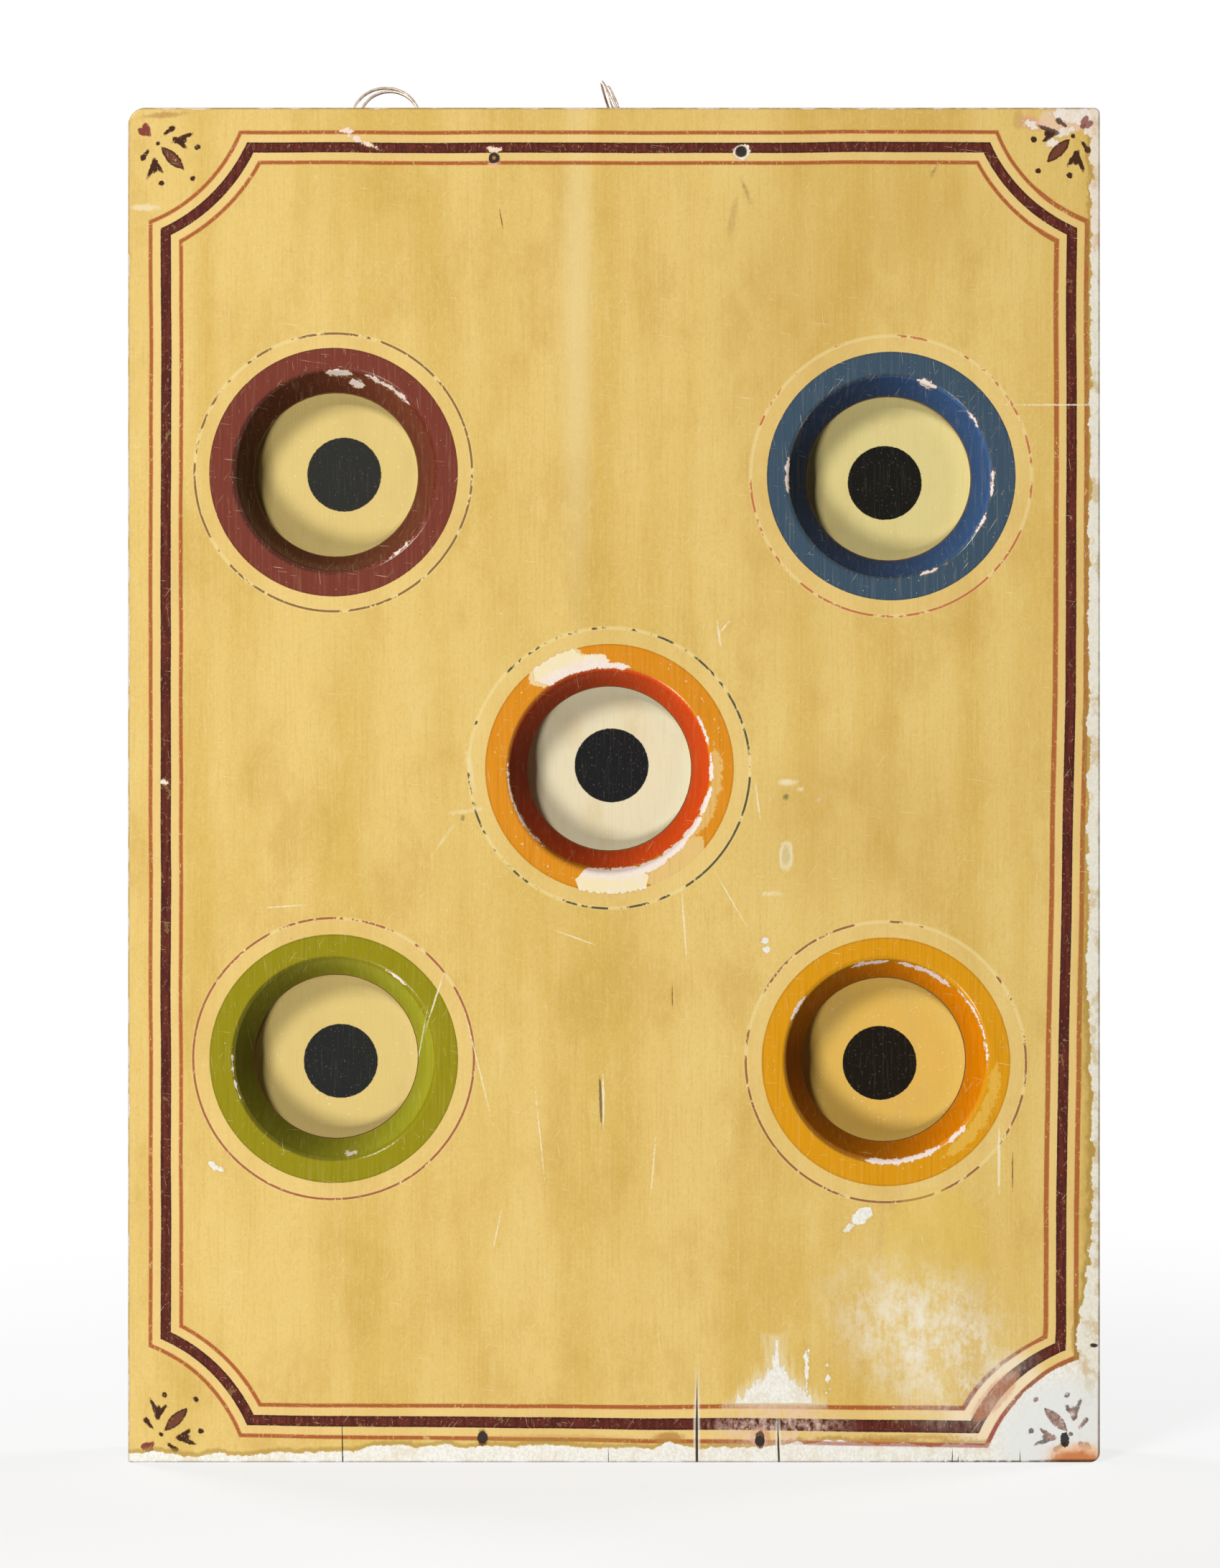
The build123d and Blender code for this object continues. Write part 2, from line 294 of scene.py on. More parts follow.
def target_finish(name, middle, cream, black):
    """Cream oil paint with a black spot, satin, a little dirty, with pale dust in the brush strokes."""
    material, shader, place = new_finish(name, Specular_IOR_Level=0.05)
    flat = place.vector("SUBTRACT", middle).vector("MULTIPLY", (1.0, 0.0, 1.0))
    ragged = place.cloud((1.6, 1.6, 1.6), seed=2.2) - 0.5
    from_middle = flat.length() + ragged * 0.7
    strokes = place.cloud((0.9, 5, 22), seed=4.4, detail=3.0, roughness=0.6)
    mottle = place.cloud((18, 18, 26), seed=8.1, detail=4.0)
    dust = place.cloud((0.9, 0.9, 1.4), seed=6.4, detail=1.0)
    spot = from_middle.rise(spot_radius + spot_softness, spot_radius - spot_softness)
    dirty = (strokes.rise(0.45, 0.75) * 0.12).between(paint(cream), paint("#B98F45"))
    dirty = dirty.coated(mottle.rise(0.48, 0.75), "#C9AC6A", 0.25)
    dirty = dirty.coated(dust.rise(0.70, 0.78), "#F6F0DC", 0.5)
    worn_black = (strokes.rise(0.52, 0.78) * 0.22).between(paint(black), paint("#67645A"))
    worn_black = worn_black.coated(dust.rise(0.66, 0.74), "#8B867A", 0.22)
    dirty.coated(spot, worn_black).into(shader, "Base Color")
    (0.42 + mottle * 0.2).into(shader, "Roughness")
    raise_grain(shader, strokes * 0.6 + spot * 0.6, 0.10)
    return material


for place_name, (cream, black) in target_paints.items():
    node = "target_" + place_name
    low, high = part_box(node)
    finish_nodes([node], target_finish("painted_" + node, (low + high) * 500, cream, black))

# Front board: three planks glued edge to edge, primed white, painted yellow cream and lined by hand under
# varnish. The five holes were turned, and their lips and walls painted with the rings. Balls and handling
# have chipped the lips, the foot and the right edge down to the primer, and the foot has split.

board_half_width = 250.0
board_height = 697.0
bare_behind = -10.2
ring_radius = 64.0
ring_softness = 0.2
lip_radius = 51.6
lip_softness = 0.4
halo_radius = 68.0

# Border: its middle on the face and, from there, how far out the outer line runs at the sides and at the
# ends, the middle and radius of the scooped corners, and the distance from each thin line to the dark band
border_x, border_z = 2.4, 349.2
line_out_x, line_out_z = 240.6, 335.0
scoop_x, scoop_z, scoop_radius = 270.8, 365.2, 82.0
line_to_band = 7.8

# Each hole: its middle, the paints of its ring, wall and thin circle, the circle's radius, how much of the
# circle wear took, and the direction in degrees in which most of it is left
hole_paints = {
    "upper_left": (-144.2, 509.4, "#773526", "#7A3F2C", "#7A4F28", 71.4, 0.42, -25),
    "upper_right": (142.6, 507.4, "#3A4F60", "#395A87", "#C0623A", 72.2, 0.49, -70),
    "centre": (-2.3, 357.1, "#DD8C12", "#E24F12", "#24261A", 72.2, 0.47, -25),
    "lower_left": (-144.1, 207.7, "#938800", "#AEAB2A", "#9A4A2C", 72.2, 0.41, -60),
    "lower_right": (139.9, 206.1, "#DC9700", "#E88900", "#8A4A26", 72.2, 0.46, -110),
}

# Chips and painted highlights about each hole: direction and half the spread in degrees, radius and half
# the width in millimetres. Those on the upper right and lower right of the lips are partly chips, partly
# painted highlights.
lip_chips_and_glints = {
    "upper_left": [(57, 15, 52.5, 0.8), (87, 6, 51.5, 1.3), (76, 3, 48.0, 1.5), (312, 7, 52.6, 0.4)],
    "upper_right": [(69, 4, 51.2, 1.3), (180, 9, 53.6, 0.8), (356, 7, 52.2, 0.6), (35, 4, 51.5, 0.6),
                    (332, 5, 52.3, 0.5), (292, 3, 53.0, 0.7)],
    "centre": [(117, 11, 59.0, 7.0), (101, 9, 55.5, 3.6), (88, 8, 52.9, 1.5), (264, 8, 59.5, 7.5),
               (278, 9, 59.0, 7.5), (294, 7, 54.6, 2.6), (309, 7, 53.6, 1.9), (324, 7, 53.0, 1.5),
               (341, 8, 52.7, 1.1), (0, 7, 52.6, 0.8), (22, 8, 52.5, 0.7), (204, 30, 52.4, 0.45)],
    "lower_left": [(52, 5, 53.0, 0.5), (280, 2, 49.6, 0.9), (190, 14, 52.2, 0.3)],
    "lower_right": [(99, 10, 51.6, 0.9), (66, 17, 51.0, 0.9), (280, 25, 51.6, 1.2), (314, 5, 52.4, 1.1),
                    (149, 6, 53.3, 0.8), (20, 26, 52.2, 0.3)],
}

# Places where a ring is rubbed through to an older coat: the same columns as the lip table, then its colour
ring_rubs = {
    "centre": [(305, 17, 59.5, 7.0, "#E7C67E"), (346, 26, 55.0, 3.0, "#E6BC6C"),
               (118, 13, 59.5, 8.0, "#F0D9A0")],
    "lower_right": [(330, 30, 57.0, 3.0, "#E6B446")],
}

# Ovals worn down to the primer: place, reach along X and Z in millimetres, and turn in degrees
bare_patches = [
    (238, 692.5, 12, 4.2, -6), (246, 686, 4, 5, 0), (231, 684.5, 5, 2.6, 20), (225.5, 678.8, 3.1, 2.2, 10),
    (214.5, 688, 3.5, 1.6, -25), (247, 655.5, 2.4, 7, 0), (-132.6, 680.8, 3.4, 1.1, -28),
    (-125.6, 677.8, 3.8, 1.1, -22), (-138, 685, 4, 1.2, 0), (-61.4, 675.3, 3.2, 1.6, 0),
    (65.4, 674.3, 4.3, 4.0, 0), (-231, 350, 2.6, 1.6, 0), (-205, 152, 4.5, 1.5, -30),
    (127, 126.8, 6.2, 3.2, 35), (121, 121, 4.0, 1.7, 35), (77.5, 268.5, 1.5, 1.5, 0),
    (78.6, 263.6, 1.4, 1.4, 0), (99, 48, 1.2, 10, 0), (110, 44, 0.8, 5, 0),
]

# Splits that follow the grain up from the foot: place along X, top, and width at the foot in millimetres.
# The wide ones have a pale edge where the paint has lifted.
splits = [
    (-140.0, 34, 0.6), (42.9, 56, 1.3), (84.9, 29, 1.0), (-2.6, 12, 0.3), (173.9, 10, 0.5),
    (176.9, 5, 0.4), (209.0, 9, 0.4),
]
wide_split = 0.9

# Rust about each nail head: place and reach along X and Z
nail_heads = [
    (-61.7, 671.0, 2.9, 2.7), (65.4, 674.3, 3.0, 3.0), (-67.6, 12.9, 2.6, 3.0), (75.0, 11.8, 2.3, 4.6),
]

# Stains: place, reach, turn, colour and strength
stains = [
    (75, 12, 5.5, 6.5, 0, "#C98F6C", 0.6), (-67.6, 12.2, 2.4, 5.0, 0, "#6B3A1C", 0.9),
    (28, 12.5, 8, 3.2, 0, "#B5803A", 0.8), (137, 10, 17, 2.6, 0, "#C08A3C", 0.85),
    (-30, 12.2, 46, 2.0, 0, "#B98F45", 0.4), (61, 640, 9, 1.8, 80, "#A8874A", 0.35),
    (68, 654, 0.8, 5, 20, "#7A5A2A", 0.55), (165, 665, 0.8, 4, -25, "#6B4A22", 0.6),
    (88.5, 342.4, 1.4, 1.4, 0, "#6F6A34", 0.8), (89.2, 349.8, 4, 1.6, 0, "#F3E6BE", 0.7),
    (96.3, 346.3, 1.3, 0.9, 0, "#F3E6BE", 0.7), (104.8, 340.7, 1.2, 0.9, 0, "#E9C4A4", 0.8),
    (88.5, 312, 3.6, 7.2, 0, "#F2E4BC", 0.75), (88.5, 312, 2.2, 5.4, 0, "#D2BC82", 0.9),
    (80.5, 292.6, 3.6, 0.9, 0, "#F3E6BE", 0.7), (-77.8, 331.4, 1.0, 1.6, 0, "#6A602E", 0.8),
    (-71.9, 338.6, 0.8, 0.8, 0, "#6A602E", 0.8), (-76, 335, 7, 1.1, 8, "#F1E2B4", 0.5),
    (-73.6, 355.5, 1.3, 9, 10, "#F1E2B4", 0.4), (-87, 321.5, 0.7, 6.5, -35, "#F1E2B4", 0.5),
    (-232, 693, 10, 1.5, 4, "#A9783A", 0.6), (208, 691, 2.5, 6, 0, "#B07F42", 0.35),
    (196, 34, 17, 5.5, 48, "#D08A62", 0.55), (215, 689, 7, 3.5, -20, "#DFA083", 0.6),
    (231, 690, 13, 6.5, 0, "#F0CDBB", 0.6), (150, 13, 30, 1.4, 0, "#B98F45", 0.6),
    (165, 112, 26, 30, 0, "#E2C04E", 0.3), (-61.6, 667.6, 3.0, 1.6, 0, "#F0B48C", 0.8),
    (-241, 645.5, 8, 1.6, 0, "#F2E4BC", 0.6),
]

# Pale scratches and dark ones: place, reach and turn
pale_scratches = [
    (-5.6, 186, 0.7, 12, 0), (229, 544, 22, 0.4, 0), (198, 156, 0.7, 16, 0), (-92, 238, 14, 0.45, 72),
    (-100, 214, 16, 0.3, 78), (-170, 286, 9, 0.3, 4), (54, 426, 0.5, 6, 8), (57, 430, 0.5, 3.5, -40),
    (36, 278, 0.4, 16, 4), (-38, 168, 0.3, 18, 6), (20, 150, 0.3, 14, -5), (-70, 205, 0.3, 22, 14),
    (74, 340, 0.4, 9, 8), (-20, 270, 9, 0.3, -20), (60, 290, 0.3, 12, 30), (-60, 120, 0.3, 9, -12),
]
dark_scratches = [
    (-6.8, 186, 0.75, 12.5, 2), (-58, 640, 0.35, 5, 10), (205, 150, 0.35, 8, 0), (30, 240, 0.3, 6, 0),
]


def plank_finish(node):
    """The paint of a plank, with the lines, rings and wear that reach it, in the board's millimetres."""
    low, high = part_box(node)
    material, shader, place = new_finish(
        "lined_" + node, Specular_IOR_Level=0.04, Coat_Roughness=0.12, Coat_IOR=1.5,
    )
    x, y, z = place.split()
    flat = place.vector("MULTIPLY", (1.0, 0.0, 1.0))
    strokes = place.cloud((1.2, 9, 34), seed=11.3, detail=4.0, roughness=0.62)
    bands = place.cloud((38, 60, 420), seed=15.1)
    mottle = place.cloud((34, 46, 58), seed=9.4, detail=5.0, roughness=0.62)
    ragged = place.cloud((1.4, 1.4, 1.8), seed=2.9) - 0.5
    nicks = place.cloud((2.8, 2.8, 3.6), seed=71.3, detail=3.0, roughness=0.7) - 0.5
    torn = place.cloud((9, 9, 12), seed=21.7, detail=4.0, roughness=0.65) - 0.5
    hand = place.cloud((70, 70, 70), seed=5.6, detail=1.0) - 0.5
    crumbs = place.cloud((1.1, 1.1, 1.5), seed=31.9, roughness=0.6)
    streaks = place.cloud((2.2, 9, 22), seed=41.3, detail=3.0, roughness=0.6)
    far_off = abs(x) + 99.0

    def here(rows):
        """The rows of a table that reach this plank or a little past its joints."""
        spare = 12.0
        first, last = low.x * 1000 - spare, high.x * 1000 + spare
        return [
            row for row in rows
            if first < row[0] + max(row[2:4]) and row[0] - max(row[2:4]) < last
        ]

    def nearest(ovals):
        """Millimetres outside the nearest of the ovals that reach this plank."""
        distance = far_off
        for oval in here(ovals):
            distance = distance.least(flat.oval(*oval))
        return distance

    # Yellow cream field, brushed along the grain, with broad paler and darker stretches
    field = bands.rise(0.38, 0.62).between(paint("#E5C473"), paint("#DAB65F"))
    field = field.coated(mottle.rise(0.48, 0.72), "#C59A42", 0.40)
    field = field.coated(mottle.rise(0.46, 0.28), "#EBD083", 0.42)
    field = field.coated(strokes.rise(0.50, 0.72), "#C09036", 0.18)
    field = field.coated(strokes.rise(0.48, 0.30), "#EED58D", 0.18)
    field = field.coated(crumbs.rise(0.52, 0.70), "#C3953C", 0.18)
    field = field.coated(crumbs.rise(0.46, 0.30), "#F0D893", 0.18)
    pale_run = flat.oval(-19, 580, 7, 120)
    field = field.coated(pale_run.rise(5, -6), "#F0DBA0", 0.42)
    shade = nearest([(96, 560, 44, 150), (118, 330, 60, 40, 20), (150, 640, 60, 30)])
    field = field.coated(shade.rise(16, -24), "#BF9540", 0.20)

    # Border: a dark band between two thin lines, with scooped corners. The lines were ruled by hand: at the
    # right they lean in towards the foot, and along the foot they drop and part towards the right.
    is_right = node == "front_plank_right"
    lean = ((430.0 - z) * 0.0174).most(0.0).least(5.2) * x.rise(60, 100)
    drop = ((x + 215.0) * 0.0135).most(0.0) * z.rise(200, 120)
    across = abs(x - border_x) + lean
    up = abs(z - border_z) - drop
    scoop = x.node("CombineXYZ", {}, {"X": across - scoop_x, "Z": up - scoop_z}).length()
    border = (across - line_out_x).most(up - line_out_z).most(scoop_radius - scoop)
    border = border + hand * 1.6 + ragged * 0.35
    from_band = abs(border * (1.0 - drop * z.rise(75, 35) * 0.036) + line_to_band)
    lined = field.coated(from_band.rise(8.4, 7.0), "#F2D08C", 0.42)
    if is_right:
        faded_scoop = flat.oval(197, 31, 27, 27).rise(6, -6)
        lined = lined.coated(faded_scoop * from_band.rise(7.4, 6.8), "#F9E3C2", 0.75)
    unrubbed = crumbs.rise(0.72, 0.62).most(0.3) * torn.rise(0.22, 0.14).most(0.45)
    line_paint = (x.rise(150, 185) * z.rise(66, 46)).between(paint("#A54C1E"), paint("#8A342A"))
    thin_line = abs(from_band - line_to_band)
    if is_right:
        at_side = x.rise(216, 221)
        line_paint = line_paint.coated(at_side, "#A95A28", 0.6)
        thin_line = thin_line - at_side * 0.3
    lined = lined.coated(thin_line.rise(1.4, 0.55) * unrubbed, line_paint, 0.92)
    band_paint = streaks.rise(0.38, 0.62).between(paint("#4C1810"), paint("#65271B"))
    band_paint = band_paint.coated(from_band.rise(1.5, 2.4), "#260D06", 0.75)
    lined = lined.coated(from_band.rise(2.9, 2.45) * unrubbed.most(0.85), band_paint)

    # Corner ornament, from a stencil: a leaf, drops, forked petals, dots and a heart, mirrored on the
    # diagonal. It was laid by eye, so each corner has its own place for it.
    middle_x, middle_z = 1.0, 347.15
    top_right = x.rise(-1, 1) * z.rise(330, 360)
    top_left = x.rise(1, -1) * z.rise(330, 360)
    side = board_half_width + middle_x - abs(x - middle_x) + top_right * 1.3 + top_left * 1.7
    end = board_height - middle_z - abs(z - middle_z) + top_right * 2.5 - top_left * 1.4
    diagonal = (side + end) * math.sqrt(0.5)
    off_diagonal = abs(side - end) * math.sqrt(0.5)
    corner = diagonal.node("CombineXYZ", {}, {"X": diagonal, "Z": off_diagonal})

    def petal(start, finish, wide):
        """Millimetres outside a petal from one place to another, along the diagonal and off it."""
        middle = [(a + b) / 2 for a, b in zip(start, finish)]
        turn = math.degrees(math.atan2(finish[1] - start[1], finish[0] - start[0]))
        return corner.oval(*middle, math.dist(start, finish) / 2 + wide * 0.8, wide, turn)

    leaf_back = corner.vector("SUBTRACT", (35.0, 0.0, -10.2)).length() - 13.0
    ornament = leaf_back
    petals = [
        ((13.4, 1.7), (15.6, 0.9), 1.7), ((15.0, 0.6), (17.6, 0.0), 1.2), ((24.3, 0.0), (24.4, 0.0), 1.0),
        ((24.0, 11.0), (23.9, 9.8), 1.35), ((23.9, 10.4), (23.4, 6.4), 0.85),
        ((29.6, 7.8), (32.6, 14.8), 1.05), ((29.6, 7.8), (35.5, 8.7), 1.05),
        ((29.4, 7.6), (32.6, 10.4), 1.7), ((39.9, 13.1), (40.0, 13.1), 1.4),
        ((49.6, 0.0), (49.7, 0.0), 1.3),
    ]
    for start, finish, wide in petals:
        ornament = ornament.least(petal(start, finish, wide))
    stencil = (ornament + ragged * 1.1 + nicks * 1.2).rise(0.45, -0.15)
    ornament_paint = leaf_back.rise(-0.2, -1.2).between(paint("#3F1F0E"), paint("#6E3C28"))
    ornament_paint = ornament_paint.coated(diagonal.rise(19.5, 18.5), "#8F4438", 0.8)
    lined = lined.coated(stencil * crumbs.rise(0.74, 0.64).most(0.5), ornament_paint)

    # Wear of the face: its edges, and strips along the foot and the right edge, with a dull line where the
    # paint stops. The foot's right corner is bare, and a tongue of bare primer runs up the grain beside it.
    edge = (board_half_width - abs(x)).least(z).least(board_height - z)
    scallops = place.cloud((16, 60, 400), seed=61.0, detail=3.0) - 0.5
    strip = z - 4.6 - x.rise(-150, -118) * 3.6 - x.rise(52, 66) * 1.2
    strip = strip + scallops * 9 + torn * 4 + nicks * 2
    worn = (edge - 0.5 + torn * 3.4).least(nearest(bare_patches) + torn * 3 + nicks * 5)
    if is_right:
        right_strip = (board_half_width - x) - 7.2 + z * 0.004 + torn * 9 + nicks * 3
        right_strip = right_strip + z.rise(240, 180) * 2.2 - z.rise(115, 58) * 7.0
        strip = strip.least(right_strip)
        corner_wear = (0.9 - border).most(165 - x).most(z - 60) + torn * 3
        tongue = abs(x - 83.0) - z.rise(66, 28) ** 2.4 * 21.0
        tongue = (tongue * 0.6 + streaks * 14 - 7).most(30.5 - z).most(z - 63)
        worn = worn.least(corner_wear).least(tongue)
        faded_corner = flat.oval(232, 12, 34, 30).rise(8, -8)
        ornament_paint = ornament_paint.coated(faded_corner * nicks.rise(-0.14, 0.08), "#A87B6C", 0.9)
        outlying = faded_corner * off_diagonal.rise(9.5, 11.5)
        ornament_paint = ornament_paint.coated(outlying, "#4C4A42", 0.8)
    behind = y - low.y * 1000
    worn = worn.least(strip).most(behind * 0.8 - 2.4 + torn * 6 - edge * 4)
    dull_rim = strip.rise(-0.4, 0.9) * strip.rise(3.2, 1.4) * behind.rise(3.0, 1.5)
    painted = lined.coated(dull_rim, "#A68540", 0.62)
    if is_right:
        dull_side = right_strip.rise(8.0, 1.0) * z.rise(60, 90) * z.rise(330, 230)
        painted = painted.coated(dull_side, "#A98532", 0.5)
        painted = painted.coated(tongue.rise(5.0, 0.0), "#F0E4BE", 0.5)

    def arc(outward, toward, direction, spread, radius, wide):
        """Millimetres outside a lens that follows a circle about a hole."""
        angle = math.radians(direction)
        ray = (math.cos(angle), 0.0, math.sin(angle))
        ends = math.cos(math.radians(spread + 4)), math.cos(math.radians(spread * 0.6))
        lens = toward.vector("DOT_PRODUCT", ray, "Value").rise(*ends) * (wide + 1.0) - 1.0
        return abs(outward - radius) - lens

    # Rings, lips and walls of the holes, with the thin scribed circle about each. The varnish stops at the
    # lip. Painted shade darkens the walls towards the back, and a painted shadow darkens their left side
    # and lip.
    ring_coat = field
    in_ring = far_off * 0.0
    outer_primer = in_ring
    varnished = in_ring + 1.0
    chips_and_glints = far_off
    for name, row in hole_paints.items():
        hole_x, hole_z, ring_code, wall_code, circle_code, circle_radius, lost, kept = row
        if not here([(hole_x, hole_z, circle_radius)]):
            continue
        spoke = flat.vector("SUBTRACT", (hole_x, 0.0, hole_z))
        outward = spoke.length() + ragged * 0.25
        toward = spoke.vector("NORMALIZE", (0.0, 0.0, 0.0))
        halo = abs(outward - halo_radius + hand).rise(4.9, 3.8)
        painted = painted.coated(halo, "#F0D08A", 0.26)
        drawn = abs(outward - circle_radius + hand * 1.2)
        painted = painted.coated(drawn.rise(1.3, 0.5), "#F3DFA0", 0.40)
        ray = (math.cos(math.radians(kept)), 0.0, math.sin(math.radians(kept)))
        left = torn + toward.vector("DOT_PRODUCT", ray, "Value") * 0.07
        circle = drawn.rise(0.82, 0.36) * left.rise(lost - 0.5, lost - 0.44)
        painted = painted.coated(circle, circle_code, 0.9)
        ring = outward.rise(ring_radius + ring_softness, ring_radius - ring_softness)
        wall = outward.rise(lip_radius + lip_softness, lip_radius - lip_softness)
        varnished = varnished.least(outward.rise(46.0, 50.5))
        coat = wall.between(paint(ring_code), paint(wall_code))
        coat = coat.coated(outward.rise(62.6, 63.8), "#2A1610", 0.22)
        # Painted shade: each wall darkens towards the back of its hole.
        coat = coat.coated(outward.rise(51.0, 43.0), "#1A0D08", 0.22)
        # Painted shadow: the left side of each wall and its lip are darkened.
        leftward = toward.vector("DOT_PRODUCT", (-1.0, 0.0, 0.0), "Value")
        coat = coat.coated(outward.rise(53.4, 52.0) * leftward.rise(-0.7, 0.6), "#1A0D08", 0.55)
        outer_primer = outer_primer.most(ring * outward.rise(54, 60))
        for *lens, code in ring_rubs.get(name, []):
            rub = arc(outward, toward, *lens) + nicks * 9 + ragged * 2
            coat = coat.coated(rub.rise(0.6, -0.6) * outward.rise(52.8, 53.4), code, 0.85)
        ring_coat = ring_coat.coated(ring, coat)
        in_ring = in_ring.most(ring)
        lens_chips_and_glints = far_off
        # Real chips and painted highlights of the lamps on the lips, together
        for lens in lip_chips_and_glints[name]:
            lens_chips_and_glints = lens_chips_and_glints.least(arc(outward, toward, *lens))
        chips_and_glints = chips_and_glints.least(lens_chips_and_glints.most(outward - ring_radius - 0.3))
    ring_coat = ring_coat.coated(strokes.rise(0.48, 0.72), "#2A1A12", 0.16)
    ring_coat = ring_coat.coated(strokes.rise(0.48, 0.30), "#F0DFAE", 0.06)
    ring_coat = ring_coat.coated(crumbs.rise(0.70, 0.76), "#E8D2A2", 0.25)
    painted = painted.coated(in_ring, ring_coat)
    # The chips and the painted highlights on the lips both take the primer's pale colour.
    worn = worn.least(chips_and_glints + nicks * 4.5 + ragged)

    # Stains, a painted glare on the varnish, specks and scratches
    for stain_x, stain_z, reach_x, reach_z, turn, code, strength in here(stains):
        spot = flat.oval(stain_x, stain_z, reach_x, reach_z, turn) + torn * 2 + nicks * 3
        painted = painted.coated(spot.rise(0.8, -1.0), code, strength)
    if is_right:
        # Painted glare: a pale, clouded reflection of a lamp in the varnish at the lower right
        painted_glare = flat.oval(162, 64, 54, 36, -34).rise(14, -28)
        patches = (torn * 1.3 + nicks * 0.6 + streaks * 0.35).rise(-0.12, 0.52)
        painted = painted.coated(painted_glare * patches.most(0.12), "#F2EDDC", 0.85)
        rubbed = flat.oval(84, 19, 32, 12).rise(5, -7) * (torn + nicks + streaks * 0.4).rise(0.02, 0.45)
        painted = painted.coated(rubbed, "#EBC9B4", 0.8)
    painted = painted.coated(crumbs.rise(0.735, 0.775), "#F6E6B8", 0.7)
    specks = place.cloud((1.3, 1.3, 2.2), seed=77.1)
    painted = painted.coated(specks.rise(0.76, 0.80), "#8A6A34", 0.5)
    for turn, seed in ((8.0, 51.0), (-35.0, 53.0), (82.0, 57.0)):
        turned = place.mapped(Rotation=(0, math.radians(turn), 0))
        hair = turned.cloud((0.35, 60, 16), seed=seed, detail=1.0)
        painted = painted.coated(hair.rise(0.76, 0.80), "#F4E4B4", 0.6)
    pale_marks = nearest(pale_scratches) + ragged * 0.8
    painted = painted.coated(pale_marks.rise(0.2, -0.2), "#F5E9C6", 0.75)
    dark_marks = nearest(dark_scratches) + ragged * 0.6
    painted = painted.coated(dark_marks.rise(0.15, -0.15), "#6A4A28", 0.8)

    # Primer that shows through, also where the lips carry painted highlights, ochre with dirt in places,
    # and the stencil that has soaked into it
    bare = worn.rise(0.25, -0.2)
    primed = crumbs.rise(0.36, 0.66).between(paint("#F6F3EA"), paint("#E9E3D4"))
    primed = primed.coated(torn.rise(0.03, 0.15), "#D9C08A", 0.25)
    painted = painted.coated(worn.rise(0.9, 0.1), "#B98F4A", 0.30)
    if is_right:
        in_strip = right_strip.rise(2.0, -1.0)
        primed = primed.coated(in_strip, "#DFD6BA", 0.4)
        primed = primed.coated(in_strip * torn.rise(0.0, 0.14), "#C7A35E", 0.5)
        primed = primed.coated(faded_corner, "#E9EAE6", 0.8)
        primed = primed.coated(faded_corner * nicks.rise(0.12, 0.24), "#B9AC9C", 0.4)
    primed = primed.coated(in_ring, "#F6DED2", 0.6)
    primed = primed.coated(outer_primer * torn.rise(-0.22, 0.04), "#F3E2AC", 0.8)
    near_top = z.rise(600, 640)
    primed = primed.coated(near_top, "#F4CDB0", 0.25 if is_right else 0.6)
    painted = painted.coated(bare, primed)
    if is_right:
        soaked = stencil * (faded_corner * nicks.rise(0.24, 0.04)).most(near_top)
        painted = painted.coated(soaked, ornament_paint, 0.85)
        soaked_line = thin_line.rise(1.2, 0.5) * border.rise(-3.0, -2.0)
        soaked_line = soaked_line * x.rise(84, 110) * z.rise(30, 22)
        painted = painted.coated(soaked_line, "#A8524A", 0.75)
        rust = flat.oval(238, 3.0, 14, 6.5) + nicks * 7 + torn * 4
        painted = painted.coated(rust.rise(3.5, -3.0), "#EDB98A", 0.85)
        painted = painted.coated((rust + z * 0.8 - 1.5).rise(2.0, -3.5), "#C9743A", 0.85)
        painted = painted.coated(z.rise(2.4, 0.8) * x.rise(216, 230), "#4E2C16", 0.8)
        painted = painted.coated(x.rise(248.2, 249.4) * z.rise(60, 12), "#8A4A24", 0.6)
        for hole_x, hole_z, reach_x, reach_z in ((231.9, 11.8, 2.2, 3.8), (246.8, 60.3, 2.0, 0.9)):
            hole = flat.oval(hole_x, hole_z, reach_x, reach_z) + ragged + nicks
            painted = painted.coated(hole.rise(0.3, -0.2), "#17110E", 0.95)
        foot_dashes = z.rise(1.6, 0.6) * x.rise(150, 172) * nicks.rise(-0.08, 0.03)
        painted = painted.coated(foot_dashes, "#3B2A20", 0.8)

    # Splits, the rust about the nails, and dirt on the edges
    for split_x, top, width in here(splits):
        open_width = z.rise(top, top * 0.2) * (width / 2 + 0.1) - 0.1
        off_line = abs(x - split_x + hand * 3 + ragged * 0.3) - open_width
        if width > wide_split:
            lifted = off_line.rise(1.7, 0.5) * z.rise(top, top * 0.5)
            painted = painted.coated(lifted, "#F2E8D2", 0.6)
        painted = painted.coated(off_line.rise(0.12, -0.08), "#1E130C", 0.94)
    for nail_x, nail_z, reach_x, reach_z in here(nail_heads):
        about_nail = flat.oval(nail_x, nail_z, reach_x, reach_z) + nicks * 2
        painted = painted.coated(about_nail.rise(0.35, -0.15), "#2E1C12", 0.85)
    grimy_edge = edge.rise(1.5, 0.2) * torn.rise(-0.12, 0.06).most(x.rise(-246, -248.5) * 0.8)
    painted = painted.coated(grimy_edge, "#86683C", 0.5)
    timber = streaks.between(paint("#8F6A40"), paint("#5F4124"))
    painted = painted.coated(y.rise(bare_behind, bare_behind + 0.4), timber)

    painted.into(shader, "Base Color")
    (0.42 + mottle * 0.15 + bare * 0.3).into(shader, "Roughness")
    ((1 - bare) * varnished * 0.24).into(shader, "Coat Weight")
    raise_grain(shader, strokes * 0.6 + ragged * 0.4, 0.04)
    return material


for side in ("left", "middle", "right"):
    node = "front_plank_" + side
    finish_nodes([node], plank_finish(node))

# Metal: rusty wrought nails, four in the face, one of them dabbed with paint, and eight through the
# stiles; slotted steel screws in the back; and split rings of worn nickel plate, which hang in steel
# screw eyes.


